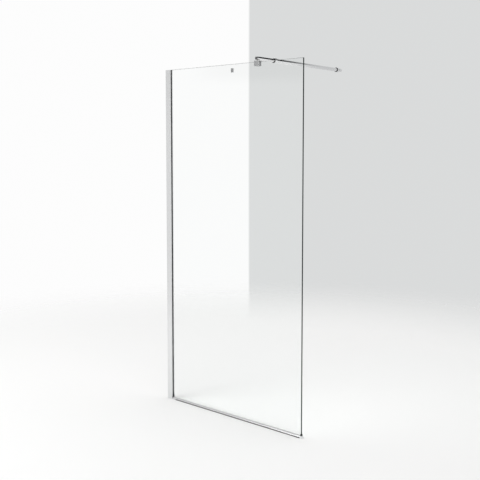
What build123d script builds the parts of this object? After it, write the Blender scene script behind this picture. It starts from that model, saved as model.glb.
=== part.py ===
# A fixed glass screen for a walk-in shower, with a stabiliser bar to the opposite wall.
# X runs along the glass from its wall, Y across the glass towards the opposite wall, Z up from the floor.
# The origin is where the middle of the glass meets its wall and the floor. Sizes are in millimetres.
import os
from math import hypot

from build123d import *

os.makedirs("parts", exist_ok=True)

# Overall sizes
screen_height = 2000.0
screen_width = 1000.0
bar_reach = 822.0
glass_thickness = 8.0
glass_edge_chamfer = 1.5

# Play between pieces
fixed_play = 0.05
running_play = 0.08
face_play = 0.1
slide_play = 0.4

# Wall channel, the hidden extrusion on the wall
channel_depth = 23.5
channel_wall = 2.0
channel_top_gap = 6.0
wall_hole_radius = 2.75
wall_hole_count = 4
wall_hole_margin = 150.0

# Glazing profile, the visible extrusion over the channel
profile_width = 26.0
profile_depth = 38.0
profile_wall_gap = 1.0
profile_leg = 1.8
profile_web = 2.0
profile_edge_radius = 0.8
glass_pocket_depth = 11.0
glass_bite = 10.0
chamber_wall = 1.6
adjust_range = 14.0

# Wedge gaskets of the glazing profile
gasket_thickness = 3.0
gasket_seat = 8.0
gasket_lip_length = 2.0
gasket_lip_cover = 1.0
gasket_lip_tip = 0.8
gasket_foot_gap = 0.5

# Cap on the top of the glazing profile
cap_thickness = 2.0
cap_peg_length = 10.0
cap_edge_radius = 0.6
cap_glass_play = 0.4

# Screws that lock the width, with their washers and covers
adjust_screw_count = 3
adjust_screw_margin = 200.0
adjust_screw_inset = 5.0
adjust_screw_radius = 1.75
adjust_screw_length = 9.5
adjust_slot_radius = 2.2
adjust_head_radius = 3.8
adjust_head_height = 2.3
washer_radius = 4.8
washer_thickness = 0.8
cover_wall = 0.8
cover_edge_radius = 0.7
recess_radius = 1.4
recess_depth = 1.2

# Floor profile under the glass
floor_width = 22.0
floor_top_width = 14.0
floor_height = 11.5
floor_kerb = 5.0
floor_base = 1.6
floor_wall = 1.5
floor_gasket_thickness = 1.5
floor_gasket_depth = 6.5
floor_gasket_lip = 0.5
floor_gap_at_profile = 0.3
block_height = 3.0
block_length = 40.0
block_margin = 120.0

# End cap of the floor profile at the free corner of the glass
end_cap_inside = 6.0
end_cap_outside = 10.0
end_cap_peg = 8.0

# Rubber boot on the free corner of the glass, held in the end cap
corner_boot_wall = 1.5
corner_boot_rise = 9.0

# Blank badge plate on the glass
badge_width = 19.0
badge_height = 23.0
badge_drop = 34.5
badge_thickness = 1.0
badge_pad_thickness = 0.5
badge_pad_inset = 1.5
badge_corner_radius = 2.0
badge_edge_radius = 0.4

# Clamp on the top edge of the glass
clamp_x = 697.0
clamp_width = 32.0
clamp_drop = 24.0
clamp_jaw = 9.0
clamp_bridge = 5.0
clamp_edge_radius = 1.0
liner_thickness = 1.0
liner_inset = 1.5
plate_thickness = 2.0
plate_width = 26.0
plate_height = 14.0
plate_margin = 3.0
plate_play = 0.3
clamp_screw_spacing = 14.0
clamp_screw_radius = 3.0
clamp_screw_length = 6.0
hex_share = 0.5
hex_depth = 2.0

# Swivel of the bar on the clamp
swivel_radius = 4.0
swivel_thread_radius = 3.0
swivel_head_radius = 6.3
swivel_head_height = 3.0
swivel_head_drop = 5.4
swivel_head_edge_radius = 0.5
swivel_washer_radius = 8.0
swivel_washer_seat = 0.8
bar_clearance = 2.8

# Bar
inner_radius = 9.5
inner_tube_wall = 1.2
tube_play = 0.3
outer_tube_wall = 1.2
fitting_shoulder = 14.0
fitting_spigot = 30.0
end_cap_thickness = 2.0
end_cap_rim = 1.3
end_cap_rim_radius = 0.6
end_cap_dish = 0.6
end_cap_plug_radius = 6.5
end_cap_plug_length = 3.8
grub_radius = 2.0
grub_length = 5.0
grub_sink = 0.3
fitting_grub_y = 30.0

# Telescope
collar_front = 144.0
collar_lip = 8.0
collar_grip = 10.0
collar_wall = 2.0
collar_edge_radius = 0.5
wiper_length = 4.0
ring_set_back = 0.5
telescope_out = 300.0
telescope_shortest_grip = 60.0
bush_flange = 4.0
bush_spigot = 20.0

# Swivel at the opposite wall
knuckle_wall = 3.0
knuckle_shoulder = 13.0
knuckle_nose = 6.0
knuckle_edge_radius = 0.5
fork_spigot = 25.0
fork_ring_length = 5.0
fork_grub_back = 13.0
pivot_from_wall = 36.0
pivot_radius = 2.5
pivot_sink = 1.0
tongue_thickness = 6.0
tongue_radius = 7.0
tongue_play = 0.2
tongue_end_play = 1.0
stem_radius = 10.0
stem_gap = 14.0
stem_edge_radius = 0.8
wall_thread_radius = 3.4
wall_thread_depth = 14.0

# Places along the profile and the glass that follow from the sizes
half_glass = glass_thickness / 2
half_profile = profile_width / 2
half_slot = half_glass + gasket_thickness
web_end = profile_depth - glass_pocket_depth
web_start = web_end - profile_web
glass_start = profile_depth - glass_bite
chamber_y = (half_slot + half_profile) / 2
chamber_width = half_profile - half_slot - 2 * chamber_wall
channel_width = profile_width - 2 * (profile_leg + slide_play)
profile_top = screen_height - cap_thickness
wall_hole_step = (screen_height - 2 * wall_hole_margin) / (wall_hole_count - 1)
wall_hole_places = [(0, wall_hole_margin + i * wall_hole_step) for i in range(wall_hole_count)]
adjust_screw_x = channel_depth - adjust_screw_inset
adjust_step = (screen_height - 2 * adjust_screw_margin) / (adjust_screw_count - 1)
adjust_heights = [adjust_screw_margin + i * adjust_step for i in range(adjust_screw_count)]
adjust_places = [(adjust_screw_x, z) for z in adjust_heights]
washer_foot = half_profile + face_play
head_foot = washer_foot + washer_thickness
cover_height = washer_thickness + adjust_head_height + face_play + cover_wall
badge_place = ((profile_depth + screen_width) / 2, screen_height - badge_drop)

# Places along the floor profile
floor_slot = half_glass + floor_gasket_thickness
glass_bottom = floor_base + block_height
floor_start = profile_depth + floor_gap_at_profile
end_cap_start = screen_width - end_cap_inside
nose_centre = screen_width + end_cap_outside - floor_width / 2
half_floor = [
    (0, 0),
    (floor_width / 2, 0),
    (floor_width / 2, floor_kerb),
    (floor_top_width / 2, floor_height),
    (0, floor_height),
]
floor_outline = half_floor + [(-y, z) for y, z in half_floor[-2:0:-1]]

# Places on the clamp and along the bar
clamp_top = screen_height + liner_thickness + clamp_bridge
clamp_bottom = screen_height - clamp_drop
jaw_inside = half_glass + liner_thickness
jaw_outside = jaw_inside + clamp_jaw
clamp_start = clamp_x - clamp_width / 2
bar_front = jaw_outside
plate_place = (clamp_x, clamp_bottom + plate_margin + plate_height / 2)
clamp_screw_places = [(clamp_x + side * clamp_screw_spacing / 2, plate_place[1]) for side in (-1, 1)]
bar_z = clamp_top + bar_clearance + inner_radius
swivel_washer_thickness = bar_clearance + swivel_washer_seat
head_floor = bar_z + inner_radius - swivel_head_drop
inner_bore = inner_radius - inner_tube_wall
outer_bore = inner_radius + tube_play
outer_radius = outer_bore + outer_tube_wall
collar_radius = outer_radius + collar_wall
outer_start = collar_front + collar_lip
lock_screw_y = collar_front + collar_lip / 2
lock_screw_length = collar_radius - grub_sink - inner_radius - tube_play
inner_tube_end = outer_start + telescope_out + telescope_shortest_grip
pivot_y = bar_reach - pivot_from_wall
knuckle_front = pivot_y - knuckle_shoulder
knuckle_radius = outer_radius + knuckle_wall
outer_tube_end = knuckle_front - fork_ring_length
fork_grub_y = knuckle_front - fork_grub_back
stem_start = pivot_y + stem_gap


def across(y):
    """A plane across the bar at y, its normal towards the opposite wall."""
    return Plane(origin=(clamp_x, y, bar_z), x_dir=(1, 0, 0), z_dir=(0, 1, 0))


def below(y, radius):
    """A level plane under the bar at y, radius away from its axis, its normal upwards."""
    return Plane(origin=(clamp_x, y, bar_z - radius), x_dir=(1, 0, 0), z_dir=(0, 0, 1))


def facing_front(y):
    """An upright plane along the glass at y, its normal towards the front."""
    return Plane.XZ.offset(-y)


def chamber_outline(inset):
    """The hollow beside the slot of the floor profile, drawn in by inset, for the rear half."""
    slope_run = (floor_width - floor_top_width) / 2
    slope_rise = floor_height - floor_kerb
    side_wall = (floor_wall + inset) * hypot(slope_run, slope_rise) / slope_rise
    near = floor_slot + floor_wall + inset
    far = floor_width / 2 - floor_wall - inset
    near_roof = floor_kerb + (floor_width / 2 - side_wall - near) * slope_rise / slope_run
    far_roof = floor_kerb + (floor_width / 2 - side_wall - far) * slope_rise / slope_run
    return [(near, floor_base + inset), (far, floor_base + inset), (far, far_roof), (near, near_roof)]


# Wall channel: a U on the wall, with a hole in its back for each wall screw
with BuildPart() as wall_channel:
    with BuildSketch():
        Rectangle(channel_depth, channel_width, align=(Align.MIN, Align.CENTER))
        with Locations((channel_wall, 0)):
            Rectangle(
                channel_depth - channel_wall,
                channel_width - 2 * channel_wall,
                align=(Align.MIN, Align.CENTER),
                mode=Mode.SUBTRACT,
            )
    extrude(amount=screen_height - channel_top_gap)
    with BuildSketch(Plane.YZ):
        with Locations(*wall_hole_places):
            Circle(wall_hole_radius)
    extrude(amount=channel_wall, mode=Mode.SUBTRACT)
    with BuildSketch(facing_front(channel_width / 2)):
        with Locations(*adjust_places):
            Circle(adjust_screw_radius + fixed_play)
    extrude(amount=channel_wall, mode=Mode.SUBTRACT)
wall_channel.part.label = "wall_channel"
export_step(wall_channel.part, "parts/wall_channel.step")

# Glazing profile: slides on the channel, and holds the glass in its other side
with BuildPart() as glazing_profile:
    with BuildSketch() as profile_section:
        with Locations((profile_wall_gap, 0)):
            Rectangle(profile_depth - profile_wall_gap, profile_width, align=(Align.MIN, Align.CENTER))
        fillet(profile_section.vertices(), radius=profile_edge_radius)
        with Locations((profile_wall_gap, 0)):
            Rectangle(
                web_start - profile_wall_gap,
                profile_width - 2 * profile_leg,
                align=(Align.MIN, Align.CENTER),
                mode=Mode.SUBTRACT,
            )
        with Locations((web_end, 0)):
            Rectangle(
                glass_pocket_depth,
                2 * half_slot,
                align=(Align.MIN, Align.CENTER),
                mode=Mode.SUBTRACT,
            )
        with Locations((web_end, -chamber_y), (web_end, chamber_y)):
            Rectangle(
                glass_pocket_depth - chamber_wall,
                chamber_width,
                align=(Align.MIN, Align.CENTER),
                mode=Mode.SUBTRACT,
            )
    extrude(amount=profile_top)
    with BuildSketch(facing_front(half_profile)):
        with Locations(*[(x - adjust_range / 2, z) for x, z in adjust_places]):
            SlotCenterToCenter(adjust_range, 2 * adjust_slot_radius)
    extrude(amount=profile_leg, mode=Mode.SUBTRACT)
glazing_profile.part.label = "glazing_profile"
export_step(glazing_profile.part, "parts/glazing_profile.step")

# Wedge gaskets: one on each face of the glass, with a tapered lip outside the profile
for side, gasket_name in ((-1, "front_gasket"), (1, "rear_gasket")):
    with BuildPart() as gasket:
        with BuildSketch(Plane.XY.offset(floor_height + gasket_foot_gap)):
            with BuildLine():
                Polyline(
                    (profile_depth - gasket_seat, side * half_glass),
                    (profile_depth + gasket_lip_length, side * half_glass),
                    (profile_depth + gasket_lip_length, side * (half_glass + gasket_lip_tip)),
                    (profile_depth, side * (half_slot + gasket_lip_cover)),
                    (profile_depth, side * half_slot),
                    (profile_depth - gasket_seat, side * half_slot),
                    close=True,
                )
            make_face()
        extrude(amount=profile_top - floor_height - gasket_foot_gap)
    gasket.part.label = gasket_name
    export_step(gasket.part, f"parts/{gasket_name}.step")

# Top cap: a plate on the glazing profile, notched for the glass, with a peg down each chamber
with BuildPart() as profile_top_cap:
    with BuildSketch(Plane.XY.offset(profile_top)) as cap_plan:
        with Locations((profile_wall_gap, 0)):
            Rectangle(profile_depth - profile_wall_gap, profile_width, align=(Align.MIN, Align.CENTER))
        fillet(cap_plan.vertices(), radius=profile_edge_radius)
    extrude(amount=cap_thickness)
    fillet(profile_top_cap.faces().sort_by(Axis.Z)[-1].edges(), radius=cap_edge_radius)
    with BuildSketch(Plane.XY.offset(profile_top)):
        with Locations((glass_start - cap_glass_play, 0)):
            Rectangle(
                glass_bite + cap_glass_play,
                glass_thickness + 2 * cap_glass_play,
                align=(Align.MIN, Align.CENTER),
            )
    extrude(amount=cap_thickness, mode=Mode.SUBTRACT)
    with BuildSketch(Plane.XY.offset(profile_top)):
        with Locations(*[(web_end + fixed_play, side * chamber_y) for side in (-1, 1)]):
            Rectangle(
                glass_pocket_depth - chamber_wall - 2 * fixed_play,
                chamber_width - 2 * fixed_play,
                align=(Align.MIN, Align.CENTER),
            )
    extrude(amount=-cap_peg_length)
profile_top_cap.part.label = "profile_top_cap"
export_step(profile_top_cap.part, "parts/profile_top_cap.step")

# Adjusting screws: cut into the channel's leg, through slots in the glazing profile
with BuildPart() as adjusting_screws:
    with BuildSketch(facing_front(head_foot)):
        with Locations(*adjust_places):
            Circle(adjust_screw_radius)
    extrude(amount=adjust_screw_length)
    with BuildSketch(facing_front(head_foot)):
        with Locations(*adjust_places):
            Circle(adjust_head_radius)
    extrude(amount=-adjust_head_height)
    with BuildSketch(facing_front(head_foot + adjust_head_height)):
        with Locations(*adjust_places):
            RegularPolygon(recess_radius, 6)
    extrude(amount=recess_depth, mode=Mode.SUBTRACT)
adjusting_screws.part.label = "adjusting_screws"
export_step(adjusting_screws.part, "parts/adjusting_screws.step")

# Washers under the adjusting screws' heads
with BuildPart() as adjusting_washers:
    with BuildSketch(facing_front(washer_foot)):
        with Locations(*adjust_places):
            Circle(washer_radius)
            Circle(adjust_screw_radius + fixed_play, mode=Mode.SUBTRACT)
    extrude(amount=-washer_thickness)
adjusting_washers.part.label = "adjusting_washers"
export_step(adjusting_washers.part, "parts/adjusting_washers.step")

# Covers pressed over the washers and heads
with BuildPart() as screw_covers:
    with BuildSketch(facing_front(washer_foot)):
        with Locations(*adjust_places):
            Circle(washer_radius + fixed_play + cover_wall)
    extrude(amount=-cover_height)
    fillet(screw_covers.faces().group_by(Axis.Y)[-1].edges(), radius=cover_edge_radius)
    with BuildSketch(facing_front(washer_foot)):
        with Locations(*adjust_places):
            Circle(washer_radius + fixed_play)
    extrude(amount=-(cover_height - cover_wall), mode=Mode.SUBTRACT)
screw_covers.part.label = "screw_covers"
export_step(screw_covers.part, "parts/screw_covers.step")

# Glass: one pane with ground edges
with BuildPart() as glass_panel:
    with Locations((glass_start, 0, glass_bottom)):
        Box(
            screen_width - glass_start,
            glass_thickness,
            screen_height - glass_bottom,
            align=(Align.MIN, Align.CENTER, Align.MIN),
        )
    chamfer(glass_panel.edges(), glass_edge_chamfer)
glass_panel.part.label = "glass_panel"
export_step(glass_panel.part, "parts/glass_panel.step")

# Blank badge plate on the front of the glass, on an adhesive pad
with BuildPart() as badge_adhesive:
    with BuildSketch(facing_front(-half_glass)):
        with Locations(badge_place):
            RectangleRounded(
                badge_width - 2 * badge_pad_inset,
                badge_height - 2 * badge_pad_inset,
                badge_corner_radius - badge_edge_radius,
            )
    extrude(amount=badge_pad_thickness)
badge_adhesive.part.label = "badge_adhesive"
export_step(badge_adhesive.part, "parts/badge_adhesive.step")

with BuildPart() as badge_plate:
    with BuildSketch(facing_front(-half_glass - badge_pad_thickness)):
        with Locations(badge_place):
            RectangleRounded(badge_width, badge_height, badge_corner_radius)
    extrude(amount=badge_thickness)
    fillet(badge_plate.faces().sort_by(Axis.Y)[0].edges(), radius=badge_edge_radius)
badge_plate.part.label = "badge_plate"
export_step(badge_plate.part, "parts/badge_plate.step")

# Floor profile: a low extrusion with sloping sides, a slot for the glass and two chambers
with BuildPart() as floor_profile:
    with BuildSketch(Plane.YZ.offset(floor_start)):
        with BuildLine():
            Polyline(*floor_outline, close=True)
        make_face()
        with Locations((0, floor_base)):
            Rectangle(
                2 * floor_slot,
                floor_height - floor_base,
                align=(Align.CENTER, Align.MIN),
                mode=Mode.SUBTRACT,
            )
    extrude(amount=end_cap_start - floor_start)
    for side in (-1, 1):
        with BuildSketch(Plane.YZ.offset(floor_start)):
            with BuildLine():
                Polyline(*[(side * y, z) for y, z in chamber_outline(0)], close=True)
            make_face()
        extrude(amount=end_cap_start - floor_start, mode=Mode.SUBTRACT)
floor_profile.part.label = "floor_profile"
export_step(floor_profile.part, "parts/floor_profile.step")

# Gaskets of the floor profile, one on each face of the glass
for side, gasket_name in ((-1, "floor_gasket_front"), (1, "floor_gasket_rear")):
    with BuildPart() as floor_gasket:
        with BuildSketch(Plane.YZ.offset(floor_start + gasket_lip_length)):
            with Locations((side * (half_glass + floor_slot) / 2, floor_height + floor_gasket_lip)):
                Rectangle(
                    floor_gasket_thickness,
                    floor_gasket_depth + floor_gasket_lip,
                    align=(Align.CENTER, Align.MAX),
                )
        extrude(amount=end_cap_start - floor_start - gasket_lip_length)
    floor_gasket.part.label = gasket_name
    export_step(floor_gasket.part, f"parts/{gasket_name}.step")

# Setting blocks that carry the glass in the floor profile
with BuildPart() as setting_blocks:
    with Locations(*[(x, 0, floor_base) for x in (block_margin, screen_width - block_margin)]):
        Box(block_length, glass_thickness, block_height, align=(Align.CENTER, Align.CENTER, Align.MIN))
setting_blocks.part.label = "setting_blocks"
export_step(setting_blocks.part, "parts/setting_blocks.step")

# End cap: continues the floor profile past the free corner, with a round nose and two pegs
with BuildPart() as floor_end_cap:
    with BuildSketch(Plane.YZ.offset(end_cap_start)):
        with BuildLine():
            Polyline(*floor_outline, close=True)
        make_face()
    extrude(amount=nose_centre - end_cap_start)
    with BuildSketch(Plane.YZ.offset(nose_centre)):
        with BuildLine():
            Polyline(*half_floor, close=True)
        make_face()
    revolve(axis=Axis((nose_centre, 0, 0), (0, 0, -1)), revolution_arc=180)
    with BuildSketch(Plane.XY.offset(glass_bottom - face_play)):
        with Locations((end_cap_start, 0)):
            Rectangle(
                end_cap_inside + corner_boot_wall + face_play,
                glass_thickness + 2 * (corner_boot_wall + face_play),
                align=(Align.MIN, Align.CENTER),
            )
    extrude(amount=floor_height, mode=Mode.SUBTRACT)
    for side in (-1, 1):
        with BuildSketch(Plane.YZ.offset(end_cap_start)):
            with BuildLine():
                Polyline(*[(side * y, z) for y, z in chamber_outline(fixed_play)], close=True)
            make_face()
        extrude(amount=-end_cap_peg)
floor_end_cap.part.label = "floor_end_cap"
export_step(floor_end_cap.part, "parts/floor_end_cap.step")

# Corner boot: a soft U round the glass's free corner, standing a little above the end cap
with BuildPart() as corner_boot:
    with BuildSketch(Plane.XY.offset(glass_bottom)):
        with Locations((end_cap_start, 0)):
            Rectangle(
                end_cap_inside + corner_boot_wall,
                glass_thickness + 2 * corner_boot_wall,
                align=(Align.MIN, Align.CENTER),
            )
            Rectangle(
                end_cap_inside,
                glass_thickness,
                align=(Align.MIN, Align.CENTER),
                mode=Mode.SUBTRACT,
            )
    extrude(amount=floor_height + corner_boot_rise - glass_bottom)
corner_boot.part.label = "corner_boot"
export_step(corner_boot.part, "parts/corner_boot.step")

# Clamp saddle: an upside-down U over the glass, with a bed for the pressure plate in its rear jaw
with BuildPart() as clamp_saddle:
    with BuildSketch(Plane.YZ.offset(clamp_start)):
        with Locations((0, clamp_top)):
            Rectangle(2 * jaw_outside, clamp_top - clamp_bottom, align=(Align.CENTER, Align.MAX))
        with Locations((0, clamp_bottom)):
            Rectangle(
                2 * jaw_inside,
                screen_height + liner_thickness - clamp_bottom,
                align=(Align.CENTER, Align.MIN),
                mode=Mode.SUBTRACT,
            )
    extrude(amount=clamp_width)
    outside_faces = clamp_saddle.faces().filter_by(Axis.Y).sort_by(Axis.Y)
    fillet(outside_faces[0].edges() + outside_faces[-1].edges(), radius=clamp_edge_radius)
    with BuildSketch(facing_front(jaw_inside)):
        with Locations(plate_place):
            Rectangle(plate_width + 2 * plate_play, plate_height + 2 * plate_play)
    extrude(amount=-plate_thickness - plate_play, mode=Mode.SUBTRACT)
    with BuildSketch(facing_front(jaw_outside)):
        with Locations(*clamp_screw_places):
            Circle(clamp_screw_radius + fixed_play)
    extrude(amount=clamp_jaw, mode=Mode.SUBTRACT)
    with BuildSketch(Plane.XY.offset(clamp_top)):
        with Locations((clamp_x, 0)):
            Circle(swivel_thread_radius + fixed_play)
    extrude(amount=-clamp_bridge, mode=Mode.SUBTRACT)
clamp_saddle.part.label = "clamp_saddle"
export_step(clamp_saddle.part, "parts/clamp_saddle.step")

# Clamp liner: a soft U between the saddle and the glass
with BuildPart() as clamp_liner:
    with BuildSketch(Plane.YZ.offset(clamp_start + liner_inset)):
        with Locations((0, clamp_bottom + liner_inset)):
            Rectangle(
                2 * jaw_inside,
                clamp_drop + liner_thickness - liner_inset,
                align=(Align.CENTER, Align.MIN),
            )
            Rectangle(
                glass_thickness,
                clamp_drop - liner_inset,
                align=(Align.CENTER, Align.MIN),
                mode=Mode.SUBTRACT,
            )
    extrude(amount=clamp_width - 2 * liner_inset)
clamp_liner.part.label = "clamp_liner"
export_step(clamp_liner.part, "parts/clamp_liner.step")

# Pressure plate: the screws press on it, and it presses the liner on the glass
with BuildPart() as clamp_pressure_plate:
    with BuildSketch(facing_front(jaw_inside)):
        with Locations(plate_place):
            Rectangle(plate_width, plate_height)
    extrude(amount=-plate_thickness)
clamp_pressure_plate.part.label = "clamp_pressure_plate"
export_step(clamp_pressure_plate.part, "parts/clamp_pressure_plate.step")

# Grub screws in the rear jaw, with a hex socket
with BuildPart() as clamp_grub_screws:
    with BuildSketch(facing_front(jaw_inside + plate_thickness)):
        with Locations(*clamp_screw_places):
            Circle(clamp_screw_radius)
    extrude(amount=-clamp_screw_length)
    with BuildSketch(facing_front(jaw_inside + plate_thickness + clamp_screw_length)):
        with Locations(*clamp_screw_places):
            RegularPolygon(clamp_screw_radius * hex_share, 6)
    extrude(amount=hex_depth, mode=Mode.SUBTRACT)
clamp_grub_screws.part.label = "clamp_grub_screws"
export_step(clamp_grub_screws.part, "parts/clamp_grub_screws.step")

# Swivel screw: a thread in the clamp's bridge, a plain shoulder for the bar, and a flat head
with BuildPart() as swivel_screw:
    with BuildSketch(Plane.XY.offset(clamp_top - clamp_bridge + face_play)):
        with Locations((clamp_x, 0)):
            Circle(swivel_thread_radius)
    extrude(amount=clamp_bridge - face_play)
    with BuildSketch(Plane.XY.offset(clamp_top)):
        with Locations((clamp_x, 0)):
            Circle(swivel_radius)
    extrude(amount=head_floor + face_play - clamp_top)
    with BuildSketch(Plane.XY.offset(head_floor + face_play)):
        with Locations((clamp_x, 0)):
            Circle(swivel_head_radius)
    extrude(amount=swivel_head_height)
    head_face = swivel_screw.faces().sort_by(Axis.Z)[-1]
    fillet(head_face.edges(), radius=swivel_head_edge_radius)
    with BuildSketch(Plane.XY.offset(head_floor + face_play + swivel_head_height)):
        with Locations((clamp_x, 0)):
            RegularPolygon(swivel_head_radius * hex_share, 6)
    extrude(amount=-hex_depth, mode=Mode.SUBTRACT)
swivel_screw.part.label = "swivel_screw"
export_step(swivel_screw.part, "parts/swivel_screw.step")

# Plain washer between the clamp and the bar
with BuildPart() as swivel_washer:
    with BuildSketch(Plane.XY.offset(clamp_top)):
        with Locations((clamp_x, 0)):
            Circle(swivel_washer_radius)
            Circle(swivel_radius + fixed_play, mode=Mode.SUBTRACT)
    extrude(amount=swivel_washer_thickness)
swivel_washer.part.label = "swivel_washer"
export_step(swivel_washer.part, "parts/swivel_washer.step")

# End fitting of the bar: a solid end that turns on the swivel screw, and a spigot for the tube
with BuildPart() as bar_end_fitting:
    with BuildSketch(across(end_cap_thickness - bar_front)):
        Circle(inner_radius)
    extrude(amount=fitting_shoulder + bar_front - end_cap_thickness)
    with BuildSketch(across(fitting_shoulder)):
        Circle(inner_bore - fixed_play)
    extrude(amount=fitting_spigot)
    with BuildSketch(across(end_cap_thickness - bar_front)):
        Circle(end_cap_plug_radius + fixed_play)
    extrude(amount=end_cap_plug_length + face_play, mode=Mode.SUBTRACT)
    with BuildSketch(Plane.XY.offset(clamp_top)):
        with Locations((clamp_x, 0)):
            Circle(swivel_washer_radius + slide_play)
    extrude(amount=swivel_washer_thickness + face_play, mode=Mode.SUBTRACT)
    with BuildSketch(Plane.XY.offset(clamp_top)):
        with Locations((clamp_x, 0)):
            Circle(swivel_radius + running_play)
    extrude(amount=head_floor - clamp_top, mode=Mode.SUBTRACT)
    with BuildSketch(Plane.XY.offset(head_floor)):
        with Locations((clamp_x, 0)):
            Circle(swivel_head_radius + slide_play)
    extrude(amount=2 * inner_radius, mode=Mode.SUBTRACT)
    with BuildSketch(below(fitting_grub_y, inner_radius)):
        Circle(grub_radius + fixed_play)
    extrude(amount=grub_sink + grub_length + face_play, mode=Mode.SUBTRACT)
bar_end_fitting.part.label = "bar_end_fitting"
export_step(bar_end_fitting.part, "parts/bar_end_fitting.step")

# Cap in the front end of the bar: a plug with a dished face inside a narrow rim
with BuildPart() as bar_end_cap:
    with BuildSketch(across(-bar_front)):
        Circle(inner_radius)
    extrude(amount=end_cap_thickness)
    fillet(bar_end_cap.faces().sort_by(Axis.Y)[0].edges(), radius=end_cap_rim_radius)
    with BuildSketch(across(-bar_front)):
        Circle(inner_radius - end_cap_rim)
    extrude(amount=end_cap_dish, mode=Mode.SUBTRACT)
    with BuildSketch(across(end_cap_thickness - bar_front)):
        Circle(end_cap_plug_radius)
    extrude(amount=end_cap_plug_length)
bar_end_cap.part.label = "bar_end_cap"
export_step(bar_end_cap.part, "parts/bar_end_cap.step")

# Grub screws of the bar, each from below with a hex socket
for grub_name, grub_y, grub_face, grub_depth in (
    ("fitting_grub_screw", fitting_grub_y, inner_radius, grub_length),
    ("collar_lock_screw", lock_screw_y, collar_radius, lock_screw_length),
    ("fork_grub_screw", fork_grub_y, outer_radius, grub_length),
):
    with BuildPart() as grub_screw:
        with BuildSketch(below(grub_y, grub_face - grub_sink)):
            Circle(grub_radius)
        extrude(amount=grub_depth)
        with BuildSketch(below(grub_y, grub_face - grub_sink)):
            RegularPolygon(grub_radius * hex_share, 6)
        extrude(amount=hex_depth, mode=Mode.SUBTRACT)
    grub_screw.part.label = grub_name
    export_step(grub_screw.part, f"parts/{grub_name}.step")

# Inner tube: from the end fitting into the outer tube
with BuildPart() as inner_tube:
    with BuildSketch(across(fitting_shoulder)):
        Circle(inner_radius)
        Circle(inner_bore, mode=Mode.SUBTRACT)
    extrude(amount=inner_tube_end - fitting_shoulder)
    with BuildSketch(below(fitting_grub_y, inner_radius)):
        Circle(grub_radius + fixed_play)
    extrude(amount=inner_radius, mode=Mode.SUBTRACT)
inner_tube.part.label = "inner_tube"
export_step(inner_tube.part, "parts/inner_tube.step")

# Bush on the far end of the inner tube: it runs in the outer tube's bore
with BuildPart() as inner_tube_bush:
    with BuildSketch(across(inner_tube_end - bush_spigot)):
        Circle(inner_bore - fixed_play)
    extrude(amount=bush_spigot)
    with BuildSketch(across(inner_tube_end)):
        Circle(outer_bore - running_play)
    extrude(amount=bush_flange)
inner_tube_bush.part.label = "inner_tube_bush"
export_step(inner_tube_bush.part, "parts/inner_tube_bush.step")

# Outer tube: slides over the inner tube
with BuildPart() as outer_tube:
    with BuildSketch(across(outer_start)):
        Circle(outer_radius)
        Circle(outer_bore, mode=Mode.SUBTRACT)
    extrude(amount=outer_tube_end - outer_start)
    with BuildSketch(below(fork_grub_y, outer_radius)):
        Circle(grub_radius + fixed_play)
    extrude(amount=outer_radius, mode=Mode.SUBTRACT)
outer_tube.part.label = "outer_tube"
export_step(outer_tube.part, "parts/outer_tube.step")

# Collar of the telescope: grips the outer tube's mouth and guides the inner tube in its lip
with BuildPart() as telescope_collar:
    with BuildSketch(across(collar_front)):
        Circle(collar_radius)
    extrude(amount=collar_lip + collar_grip)
    fillet(telescope_collar.edges(), radius=collar_edge_radius)
    with BuildSketch(across(collar_front)):
        Circle(inner_radius + running_play)
    extrude(amount=collar_lip, mode=Mode.SUBTRACT)
    with BuildSketch(across(outer_start)):
        Circle(outer_radius + fixed_play)
    extrude(amount=collar_grip, mode=Mode.SUBTRACT)
    with BuildSketch(below(lock_screw_y, collar_radius)):
        Circle(grub_radius + fixed_play)
    extrude(amount=collar_radius, mode=Mode.SUBTRACT)
telescope_collar.part.label = "telescope_collar"
export_step(telescope_collar.part, "parts/telescope_collar.step")

# Wiper ring: black rubber in front of the collar, round the inner tube
with BuildPart() as wiper_ring:
    with BuildSketch(across(collar_front - wiper_length)):
        Circle(collar_radius - ring_set_back)
        Circle(inner_radius + tube_play, mode=Mode.SUBTRACT)
    extrude(amount=wiper_length)
wiper_ring.part.label = "wiper_ring"
export_step(wiper_ring.part, "parts/wiper_ring.step")

# Fork ring: black rubber on the fork's spigot, between the outer tube and the round end
with BuildPart() as fork_ring:
    with BuildSketch(across(outer_tube_end)):
        Circle(knuckle_radius - ring_set_back)
        Circle(outer_bore, mode=Mode.SUBTRACT)
    extrude(amount=fork_ring_length)
fork_ring.part.label = "fork_ring"
export_step(fork_ring.part, "parts/fork_ring.step")

# Fork: a spigot in the outer tube, and a round end with a level slot for the tongue
with BuildPart() as tube_end_fork:
    with BuildSketch(across(knuckle_front)):
        Circle(knuckle_radius)
    extrude(amount=knuckle_shoulder + knuckle_nose)
    fillet(tube_end_fork.edges(), radius=knuckle_edge_radius)
    with BuildSketch(Plane.XY.offset(bar_z - tongue_thickness / 2 - tongue_play)):
        with Locations((clamp_x, pivot_y - tongue_radius - tongue_end_play)):
            Rectangle(
                2 * knuckle_radius,
                tongue_radius + tongue_end_play + knuckle_nose,
                align=(Align.CENTER, Align.MIN),
            )
    extrude(amount=tongue_thickness + 2 * tongue_play, mode=Mode.SUBTRACT)
    with BuildSketch(across(knuckle_front - fork_spigot)):
        Circle(outer_bore - fixed_play)
    extrude(amount=fork_spigot)
    with BuildSketch(below(pivot_y, knuckle_radius)):
        Circle(pivot_radius + fixed_play)
    extrude(amount=2 * knuckle_radius, mode=Mode.SUBTRACT)
    with BuildSketch(below(fork_grub_y, outer_radius)):
        Circle(grub_radius + fixed_play)
    extrude(amount=grub_sink + grub_length + face_play, mode=Mode.SUBTRACT)
tube_end_fork.part.label = "tube_end_fork"
export_step(tube_end_fork.part, "parts/tube_end_fork.step")

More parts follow.
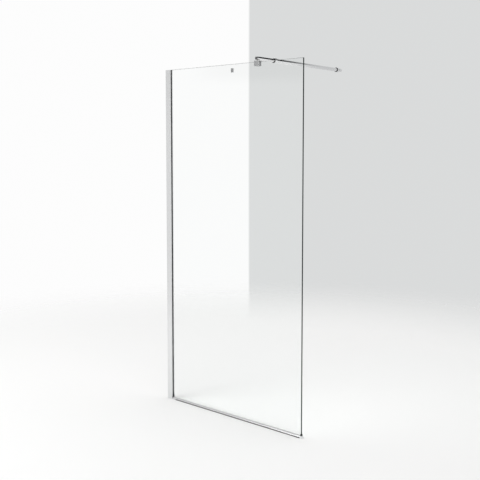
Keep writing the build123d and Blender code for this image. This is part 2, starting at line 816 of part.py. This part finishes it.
# Pivot pin through the fork and the tongue
with BuildPart() as pivot_pin:
    with BuildSketch(below(pivot_y, knuckle_radius - pivot_sink)):
        Circle(pivot_radius)
    extrude(amount=2 * (knuckle_radius - pivot_sink))
pivot_pin.part.label = "pivot_pin"
export_step(pivot_pin.part, "parts/pivot_pin.step")

# Wall stem: the tongue, and a round stem with a thread for the wall's hanger bolt
with BuildPart() as wall_stem:
    with BuildSketch(across(stem_start)):
        Circle(stem_radius)
    extrude(amount=bar_reach - stem_start)
    fillet(wall_stem.edges().sort_by(Axis.Y)[0], radius=stem_edge_radius)
    with BuildSketch(Plane.XY.offset(bar_z - tongue_thickness / 2)):
        with Locations((clamp_x, pivot_y)):
            Circle(tongue_radius)
            Rectangle(2 * tongue_radius, stem_gap, align=(Align.CENTER, Align.MIN))
    extrude(amount=tongue_thickness)
    with BuildSketch(below(pivot_y, knuckle_radius)):
        Circle(pivot_radius + running_play)
    extrude(amount=2 * knuckle_radius, mode=Mode.SUBTRACT)
    with BuildSketch(across(bar_reach)):
        Circle(wall_thread_radius)
    extrude(amount=-wall_thread_depth, mode=Mode.SUBTRACT)
wall_stem.part.label = "wall_stem"
export_step(wall_stem.part, "parts/wall_stem.step")
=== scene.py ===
import math

import bpy
import numpy as np
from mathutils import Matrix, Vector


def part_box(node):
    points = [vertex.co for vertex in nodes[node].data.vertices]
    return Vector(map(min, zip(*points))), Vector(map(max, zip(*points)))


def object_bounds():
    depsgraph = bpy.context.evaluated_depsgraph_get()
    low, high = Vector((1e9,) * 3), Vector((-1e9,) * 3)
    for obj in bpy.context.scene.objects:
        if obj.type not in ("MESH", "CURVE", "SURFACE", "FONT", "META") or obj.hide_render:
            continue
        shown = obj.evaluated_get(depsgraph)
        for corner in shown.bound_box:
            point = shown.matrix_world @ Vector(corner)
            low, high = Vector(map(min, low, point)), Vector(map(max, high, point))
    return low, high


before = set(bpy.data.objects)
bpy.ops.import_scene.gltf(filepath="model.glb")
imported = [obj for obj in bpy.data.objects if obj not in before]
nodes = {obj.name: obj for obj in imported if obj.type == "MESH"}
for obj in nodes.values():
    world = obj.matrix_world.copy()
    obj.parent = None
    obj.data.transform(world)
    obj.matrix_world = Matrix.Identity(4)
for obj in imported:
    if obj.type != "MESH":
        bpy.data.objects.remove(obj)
cad_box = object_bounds()
scene = bpy.context.scene
scene.view_settings.view_transform = "Standard"

# The camera stands in front of the screen, beyond its free edge, at eye height and looks a little down.
# Its place, turn and focal length were worked out from the photograph's edges. A small lens shift frames
# the screen and keeps its upright lines nearly upright.
image_side = 480
focal_pixels = 741.0
horizon_centre_row = 200
camera_turn = math.radians(40.11)
camera_dip = math.radians(4.076)
camera_place = (3.2212, -3.1456, 1.5411)

camera_data = bpy.data.cameras.new("camera")
camera_data.sensor_width = 36.0
camera_data.lens = focal_pixels * camera_data.sensor_width / image_side
camera_data.shift_y = (horizon_centre_row - image_side / 2) / image_side
camera = bpy.data.objects.new("camera", camera_data)
camera.location = camera_place
camera.rotation_euler = (math.pi / 2 - camera_dip, 0, camera_turn)
scene.collection.objects.link(camera)
scene.camera = camera


# A pale round floor fades into a pale backdrop, brighter to the left. One large soft lamp hangs at the
# front left. Polished metal mirrors a duller space overhead, dark flags above eye level in front of the
# screen and behind it, and a grey opening beyond the far end of the bar.
class Flow:
    """An output socket in a node tree. Arithmetic on it adds the Math nodes that work it out."""

    def __init__(self, tree, socket=None):
        self.tree = tree
        self.socket = socket

    def node(self, kind, settings=None, sockets=None, output=0):
        """Adds a node, makes its settings first, then fills its sockets with values or with other flows."""
        made = self.tree.nodes.new(kind)
        for name, value in (settings or {}).items():
            setattr(made, name, value)
        for name, value in (sockets or {}).items():
            if isinstance(value, Flow):
                self.tree.links.new(value.socket, made.inputs[name])
            else:
                made.inputs[name].default_value = value
        return Flow(self.tree, made.outputs[output] if made.outputs else None)

    def math(self, operation, *values):
        return self.node("ShaderNodeMath", {"operation": operation}, dict(enumerate(values)))

    def __add__(self, other):
        return self.math("ADD", self, other)

    def __sub__(self, other):
        return self.math("SUBTRACT", self, other)

    def __mul__(self, other):
        return self.math("MULTIPLY", self, other)

    def __rsub__(self, other):
        return self.math("SUBTRACT", other, self)

    __radd__ = __add__
    __rmul__ = __mul__

    def rises(self, start, end):
        """0 below start, 1 above end, with a smooth step between them."""
        return self.node(
            "ShaderNodeMapRange", {"interpolation_type": "SMOOTHSTEP"}, {"Value": self, 1: start, 2: end}
        )

    def part(self, name):
        """X, Y or Z of a vector."""
        return self.node("ShaderNodeSeparateXYZ", None, {0: self}, name)

    def ray(self, question):
        """1 for the kind of ray that the Light Path output is named after, and 0 for others."""
        return self.node("ShaderNodeLightPath", output=question)

    def blend(self, low, high):
        """A colour that goes from low to high as this flow goes from 0 to 1."""
        return self.node("ShaderNodeMix", {"data_type": "RGBA"}, {0: self, 6: low, 7: high}, 2)


backdrop_left = (0.98, 0.98, 0.98, 1)
backdrop_right = (0.7, 0.71, 0.71, 1)
panel_left = (0.88, 0.88, 0.88, 1)
panel_right = (1.0, 1.0, 1.0, 1)
flag_colour = (0.02, 0.022, 0.024, 1)
opening_colour = (0.68, 0.685, 0.69, 1)
overhead_colour = (0.62, 0.62, 0.62, 1)
fill_colour = (0.86, 0.86, 0.86, 1)

# These are parts of a ray's direction: across the picture, forward along the bar, or up. A pair is where a
# soft step starts and ends.
backdrop_step = (0.0105, 0.0135)
backdrop_return = (0.32, 0.42)
panel_turn = (-0.8, 0.8)
overhead_height = (0.3, 0.5)
overhead_depth = (-0.1, 0.3)
flag_sides = (0.71, 0.75)
flag_foot_front = 0.09
flag_foot_lift = 0.12
flag_foot_step = (0.776, 0.79)
flag_foot_blur = (-0.01, 0.01)
opening_side = (0.795, 0.825)

world = bpy.data.worlds.new("studio")
world.use_nodes = True
world.node_tree.nodes.clear()
sky = Flow(world.node_tree)
heading = sky.node("ShaderNodeTexCoord", output="Generated")
forward = heading.part("Y")
height = heading.part("Z")
across = heading.part("X") * math.cos(camera_turn) + forward * math.sin(camera_turn)
duller_side = across.rises(*backdrop_step) * (1 - across.rises(*backdrop_return))
backdrop = duller_side.blend(backdrop_left, backdrop_right)
overhead = height.rises(*overhead_height) * (1 - forward.rises(*overhead_depth))
panels = overhead.blend(across.rises(*panel_turn).blend(panel_left, panel_right), overhead_colour)
flag_foot = forward.rises(*flag_foot_step) * flag_foot_lift + flag_foot_front
flag_side = forward.math("ABSOLUTE", forward).rises(*flag_sides)
flag = flag_side * (height - flag_foot).rises(*flag_foot_blur)
opening = forward.rises(*opening_side)
mirrored = opening.blend(flag.blend(panels, flag_colour), opening_colour)
looked_at = sky.ray("Is Camera Ray") + sky.ray("Is Transmission Ray")
reflected = sky.ray("Is Glossy Ray") * sky.ray("Is Reflection Ray")
colour = reflected.blend(looked_at.blend(fill_colour, backdrop), mirrored)
background = sky.node("ShaderNodeBackground", None, {"Color": colour, "Strength": 1.0})
sky.node("ShaderNodeOutputWorld", None, {"Surface": background})
scene.world = world

lamp_data = bpy.data.lights.new("softbox", "AREA")
lamp_data.shape = "RECTANGLE"
lamp_data.size = 2.4
lamp_data.size_y = 2.4
lamp_data.energy = 70
lamp = bpy.data.objects.new("softbox", lamp_data)
lamp.location = (-1.4, -3.2, 4.2)
lamp.rotation_euler = (math.radians(45), 0, math.radians(-30))
scene.collection.objects.link(lamp)


def sheet_mesh(name, points, closed_round=False):
    """A mesh from a grid of points, rows by columns by XYZ, with a face between each four neighbours.

    With closed_round the last column joins the first again, as on a disc or a tube."""
    rows, columns = points.shape[:2]
    numbers = np.arange(rows * columns).reshape(rows, columns)
    if closed_round:
        numbers = np.concatenate([numbers, numbers[:, :1]], axis=1)
    corners = (numbers[:-1, :-1], numbers[:-1, 1:], numbers[1:, 1:], numbers[1:, :-1])
    faces = np.stack(corners, axis=-1).reshape(-1, 4)
    mesh = bpy.data.meshes.new(name)
    mesh.from_pydata(points.reshape(-1, 3).tolist(), [], faces.tolist())
    mesh.update()
    return mesh


def add_piece(name, mesh):
    piece = bpy.data.objects.new(name, mesh)
    scene.collection.objects.link(piece)
    return piece


floor_centre = (0.5, 0.2)
floor_radius = 4.6
floor_drop = 0.0002
floor_rings = 24
floor_spokes = 96
floor_fade = (1.9, 4.3)
floor_colour = (0.93, 0.93, 0.925, 1)

radius = np.linspace(0, floor_radius, floor_rings)[:, None]
angle = np.linspace(0, 2 * math.pi, floor_spokes, endpoint=False)[None, :]
floor_points = np.stack(
    [
        floor_centre[0] + radius * np.cos(angle),
        floor_centre[1] + radius * np.sin(angle),
        np.full((floor_rings, floor_spokes), cad_box[0][2] - floor_drop),
    ],
    axis=-1,
)
floor = add_piece("floor", sheet_mesh("floor", floor_points, closed_round=True))

# Two dark cards lie along the foot of the screen, in front and behind. Only mirroring surfaces see them,
# and they give the low sides of the floor profile their dark line.
card_start = 0.06
card_gap = 0.0112
card_depth = 0.06
card_colour = (0.03, 0.03, 0.03, 1)
along = np.linspace(cad_box[0][0] + card_start, cad_box[1][0], 2)[:, None]
card_finish = bpy.data.materials.new("card")
card_finish.use_nodes = True
card_sockets = card_finish.node_tree.nodes["Principled BSDF"].inputs
card_sockets["Base Color"].default_value = card_colour
card_sockets["Specular IOR Level"].default_value = 0.0
for card_name, side in (("front_card", -1), ("rear_card", 1)):
    away = side * np.array([card_gap, card_gap + card_depth])[None, ::-side]
    card_points = np.stack(np.broadcast_arrays(along, away, cad_box[0][2]), axis=-1)
    card = add_piece(card_name, sheet_mesh(card_name, card_points))
    card.data.materials.append(card_finish)
    card.visible_camera = False
    card.visible_diffuse = False
    card.visible_transmission = False
    card.visible_shadow = False

floor_finish = bpy.data.materials.new("floor")
floor_finish.use_nodes = True
floor_finish.node_tree.nodes.clear()
floor_flow = Flow(floor_finish.node_tree)
place = floor_flow.node("ShaderNodeTexCoord", output="Object")
offset = floor_flow.node(
    "ShaderNodeVectorMath", {"operation": "DISTANCE"}, {0: place, 1: (*floor_centre, 0)}, "Value"
)
matt = floor_flow.node("ShaderNodeBsdfDiffuse", None, {"Color": floor_colour})
nothing = floor_flow.node("ShaderNodeBsdfTransparent")
fading = offset.rises(*floor_fade)
faded = floor_flow.node("ShaderNodeMixShader", None, {0: fading, 1: matt, 2: nothing})
floor_flow.node("ShaderNodeOutputMaterial", None, {"Surface": faded})
floor.data.materials.append(floor_finish)


# The wall channel is a bright anodised aluminium extrusion, screwed to the wall. Three adjusting
# screws hold the profile of the glass in it, and plastic covers hide their heads.
def new_finish(name):
    """A material with one Principled shader, a flow for its node tree, and the shader's sockets."""
    material = bpy.data.materials.new(name)
    material.use_nodes = True
    tree = material.node_tree
    shader = tree.nodes["Principled BSDF"]
    return material, Flow(tree), shader.inputs


def feed(sockets, name, value):
    """Sets one socket of a shader, by a flow where it varies over the surface, or by a plain value."""
    if isinstance(value, Flow):
        value.tree.links.new(value.socket, sockets[name])
    else:
        sockets[name].default_value = value


def grain(flow, scale, detail=2.0):
    """Noise over the piece, with so many cells in a metre along X, Y and Z."""
    place = flow.node("ShaderNodeTexCoord", output="Object")
    stretched = flow.node("ShaderNodeVectorMath", {"operation": "MULTIPLY"}, {0: place, 1: scale})
    settings = {"Vector": stretched, "Scale": 1.0, "Detail": detail}
    return flow.node("ShaderNodeTexNoise", None, settings, "Fac")


def bump(flow, height, strength, distance):
    """Relief with the given height pattern, so strong and so deep in metres."""
    return flow.node("ShaderNodeBump", None, {"Height": height, "Strength": strength, "Distance": distance})


def dress(material, *names):
    """Puts the material on whole pieces, by their nodes' names."""
    for name in names:
        for slot in nodes[name].material_slots:
            slot.material = material


def anodised(name, lines_scale, patches_scale):
    """Bright anodised aluminium: fine lines left by the die along the bar, and slow uneven patches."""
    material, flow, sockets = new_finish(name)
    lines = grain(flow, lines_scale, 3.0)
    patches = grain(flow, patches_scale, 2.0)
    tone = lines * 0.6 + patches * 0.4
    feed(sockets, "Base Color", tone.blend((0.72, 0.725, 0.73, 1), (0.84, 0.845, 0.85, 1)))
    feed(sockets, "Metallic", 1.0)
    feed(sockets, "Roughness", 0.14 + lines * 0.12 + patches * 0.08)
    feed(sockets, "Normal", bump(flow, lines, 0.12, 0.0002))
    return material


upright_aluminium = anodised("upright_aluminium", (1900, 1900, 2.5), (30, 30, 1.4))
dress(upright_aluminium, "wall_channel", "glazing_profile")


def turned_steel(name):
    """Satin stainless steel with the faint lines of turning and a little uneven sheen."""
    material, flow, sockets = new_finish(name)
    marks = grain(flow, (2600, 2600, 2600), 2.0)
    clouds = grain(flow, (190, 190, 190), 3.0)
    feed(sockets, "Base Color", clouds.blend((0.5, 0.5, 0.51, 1), (0.68, 0.68, 0.69, 1)))
    feed(sockets, "Metallic", 1.0)
    feed(sockets, "Roughness", 0.22 + marks * 0.12 + clouds * 0.1)
    feed(sockets, "Normal", bump(flow, marks, 0.08, 0.0001))
    return material


screw_steel = turned_steel("screw_steel")
dress(screw_steel, "adjusting_screws", "adjusting_washers")


def moulded(name, dark, light, roughness):
    """Moulded plastic with the fine spark-eroded grain of its mould."""
    material, flow, sockets = new_finish(name)
    spark = grain(flow, (1700, 1700, 1700), 2.0)
    mottle = grain(flow, (120, 120, 120), 3.0)
    feed(sockets, "Base Color", (spark * 0.5 + mottle * 0.5).blend(dark, light))
    feed(sockets, "Roughness", roughness + spark * 0.16)
    feed(sockets, "Normal", bump(flow, spark, 0.25, 0.0002))
    return material


grey_plastic = moulded("grey_plastic", (0.6, 0.61, 0.62, 1), (0.72, 0.73, 0.74, 1), 0.36)
dress(grey_plastic, "screw_covers")


# The glazing profile slides in the wall channel. It grips the glass between two rubber gaskets, and a
# moulded cap closes its top.
dress(grey_plastic, "profile_top_cap")


def rubber(name, clean, dusty):
    """Sealing rubber: matt, with a fine skin and pale dust that lies unevenly."""
    material, flow, sockets = new_finish(name)
    skin = grain(flow, (2300, 2300, 2300), 2.0)
    dust = grain(flow, (55, 55, 9), 4.0)
    feed(sockets, "Base Color", dust.rises(0.42, 0.8).blend(clean, dusty))
    feed(sockets, "Roughness", 0.5 + skin * 0.3)
    feed(sockets, "Normal", bump(flow, skin, 0.2, 0.0001))
    return material


gasket_rubber = rubber("gasket_rubber", (0.06, 0.062, 0.065, 1), (0.14, 0.14, 0.14, 1))
dress(gasket_rubber, "front_gasket", "rear_gasket")


# The screen is one pane of clear toughened glass with flat, bright faces. Its edges are ground. The free
# and top edge faces, and a narrow band of the pane beside the free edge and under the top edge, carry a
# near-black
# shader: painted shade for the dark look that glass edges get from the light bent through them.
glass_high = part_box("glass_panel")[1]
free_edge_shade_band = 0.00285
top_edge_shade_band = 0.00075
band_blur = 0.00015

glass, flow, sockets = new_finish("clear_glass")
place = flow.node("ShaderNodeTexCoord", output="Object")
free_band_foot = glass_high[0] - free_edge_shade_band
top_band_foot = glass_high[2] - top_edge_shade_band
free_edge_shade = place.part("X").rises(free_band_foot, free_band_foot + band_blur)
top_edge_shade = place.part("Z").rises(top_band_foot, top_band_foot + band_blur)
feed(sockets, "Base Color", (0.985, 0.993, 0.99, 1))
feed(sockets, "Transmission Weight", 1.0)
feed(sockets, "Roughness", 0.0)
feed(sockets, "IOR", 1.5)
clear = Flow(flow.tree, flow.tree.nodes["Principled BSDF"].outputs[0])

ground = grain(flow, (1500, 1500, 1500), 3.0)
# The near-black colour of the edge shader is painted shade; its grain, roughness and bump are the ground
# edge.
painted_edge_shade_colour = ground.blend((0.008, 0.013, 0.011, 1), (0.02, 0.03, 0.027, 1))
ground_edge_and_shade_shader = flow.node(
    "ShaderNodeBsdfPrincipled",
    None,
    {
        "Base Color": painted_edge_shade_colour,
        "Roughness": 0.25 + ground * 0.25,
        "Specular IOR Level": 0.15,
        "Normal": bump(flow, ground, 0.2, 0.0001),
    },
)
edges = free_edge_shade.math("MAXIMUM", free_edge_shade, top_edge_shade)
pane = flow.node("ShaderNodeMixShader", None, {0: edges, 1: clear, 2: ground_edge_and_shade_shader})
thin = flow.node("ShaderNodeBsdfTransparent", None, {"Color": (0.93, 0.95, 0.94, 1)})
let_through = flow.node("ShaderNodeMixShader", None, {0: flow.ray("Is Shadow Ray"), 1: pane, 2: thin})
flow.tree.links.new(let_through.socket, flow.tree.nodes["Material Output"].inputs["Surface"])
dress(glass, "glass_panel")


# A small plate is stuck near the glass's top edge. It is blank, of brushed metal on a dark rubbery pad.
dress(gasket_rubber, "badge_adhesive")

badge_metal, flow, sockets = new_finish("badge_metal")
strokes = grain(flow, (60, 60, 5200), 2.0)
feed(sockets, "Base Color", strokes.blend((0.26, 0.265, 0.27, 1), (0.48, 0.485, 0.49, 1)))
feed(sockets, "Metallic", 1.0)
feed(sockets, "Roughness", 0.2 + strokes * 0.22)
feed(sockets, "Normal", bump(flow, strokes, 0.15, 0.0001))
dress(badge_metal, "badge_plate")


# The floor profile is a low aluminium channel that seals the glass against the floor. The glass stands
# in it on nylon blocks between two pale gaskets, and a moulded cap rounds off its free end. A black boot
# guards the corner of the glass in the cap.
level_aluminium = anodised("level_aluminium", (2.5, 1900, 1900), (1.4, 30, 30))
dress(level_aluminium, "floor_profile")
# This black is black rubber on the corner boot, and painted shade on the bar's two rings further down.
black_rubber_and_painted_shade = rubber("black_rubber_and_painted_shade", (0.008, 0.008, 0.009, 1), (0.03, 0.03, 0.03, 1))
dress(black_rubber_and_painted_shade, "corner_boot")

pale_rubber = rubber("pale_rubber", (0.72, 0.73, 0.73, 1), (0.82, 0.82, 0.81, 1))
dress(pale_rubber, "floor_gasket_front", "floor_gasket_rear")

end_cap_plastic = moulded("end_cap_plastic", (0.68, 0.69, 0.7, 1), (0.8, 0.81, 0.82, 1), 0.28)
dress(end_cap_plastic, "floor_end_cap")


def nylon(name):
    """Natural nylon: milky, slightly see-through and softly shining."""
    material, flow, sockets = new_finish(name)
    cloud = grain(flow, (160, 160, 160), 3.0)
    feed(sockets, "Base Color", cloud.blend((0.76, 0.75, 0.71, 1), (0.86, 0.855, 0.82, 1)))
    feed(sockets, "Roughness", 0.34 + cloud * 0.14)
    feed(sockets, "Subsurface Weight", 0.15)
    feed(sockets, "Subsurface Radius", (0.002, 0.0018, 0.0015))
    feed(sockets, "Normal", bump(flow, cloud, 0.1, 0.0004))
    return material


white_nylon = nylon("white_nylon")
dress(white_nylon, "setting_blocks")


# The clamp straddles the glass's top edge: a satin saddle, lined with rubber and tightened from
# behind by two grub screws on a pressure plate. The bar swivels on it, on one screw and a washer.
def chromed(name, dark, light, dullness):
    """Chrome plating, from nearly a mirror to satin, with a faint haze and fine wiping lines."""
    material, flow, sockets = new_finish(name)
    haze = grain(flow, (45, 45, 45), 4.0)
    wiping = grain(flow, (900, 900, 900), 2.0)
    feed(sockets, "Base Color", haze.blend(dark, light))
    feed(sockets, "Metallic", 1.0)
    feed(sockets, "Roughness", dullness + haze * 0.05 + wiping * 0.03)
    feed(sockets, "Normal", bump(flow, wiping, 0.02, 0.0001))
    return material


satin_chrome = chromed("satin_chrome", (0.5, 0.505, 0.51, 1), (0.58, 0.585, 0.59, 1), 0.22)
dress(satin_chrome, "clamp_saddle")
dress(gasket_rubber, "clamp_liner")
dress(screw_steel, "clamp_pressure_plate", "clamp_grub_screws", "swivel_screw")
dress(white_nylon, "swivel_washer")


# The stabilising bar is two chromed tubes, one sliding in the other and locked by a collar behind a black
# wiper ring, whose black is painted shade for the dark line at that joint. A plug of duller chrome closes
# the end over the clamp.
chrome = chromed("chrome", (0.74, 0.745, 0.75, 1), (0.83, 0.835, 0.84, 1), 0.03)
dress(chrome, "bar_end_fitting", "inner_tube", "outer_tube", "telescope_collar")

dull_chrome = chromed("dull_chrome", (0.56, 0.565, 0.57, 1), (0.64, 0.645, 0.65, 1), 0.1)
dress(dull_chrome, "bar_end_cap")
# The wiper ring's black is painted shade for the dark line in front of the collar.
dress(black_rubber_and_painted_shade, "wiper_ring")
dress(screw_steel, "fitting_grub_screw", "collar_lock_screw")
dress(white_nylon, "inner_tube_bush")


# A forked end on the bar, sealed by a second black ring whose black is painted shade for the dark line at
# that joint, swings on a pin in the wall stem, which screws into the wall.
dress(chrome, "tube_end_fork", "wall_stem")
# The fork ring's black is painted shade for the dark line at the wall end of the bar.
dress(black_rubber_and_painted_shade, "fork_ring")
dress(screw_steel, "fork_grub_screw", "pivot_pin")
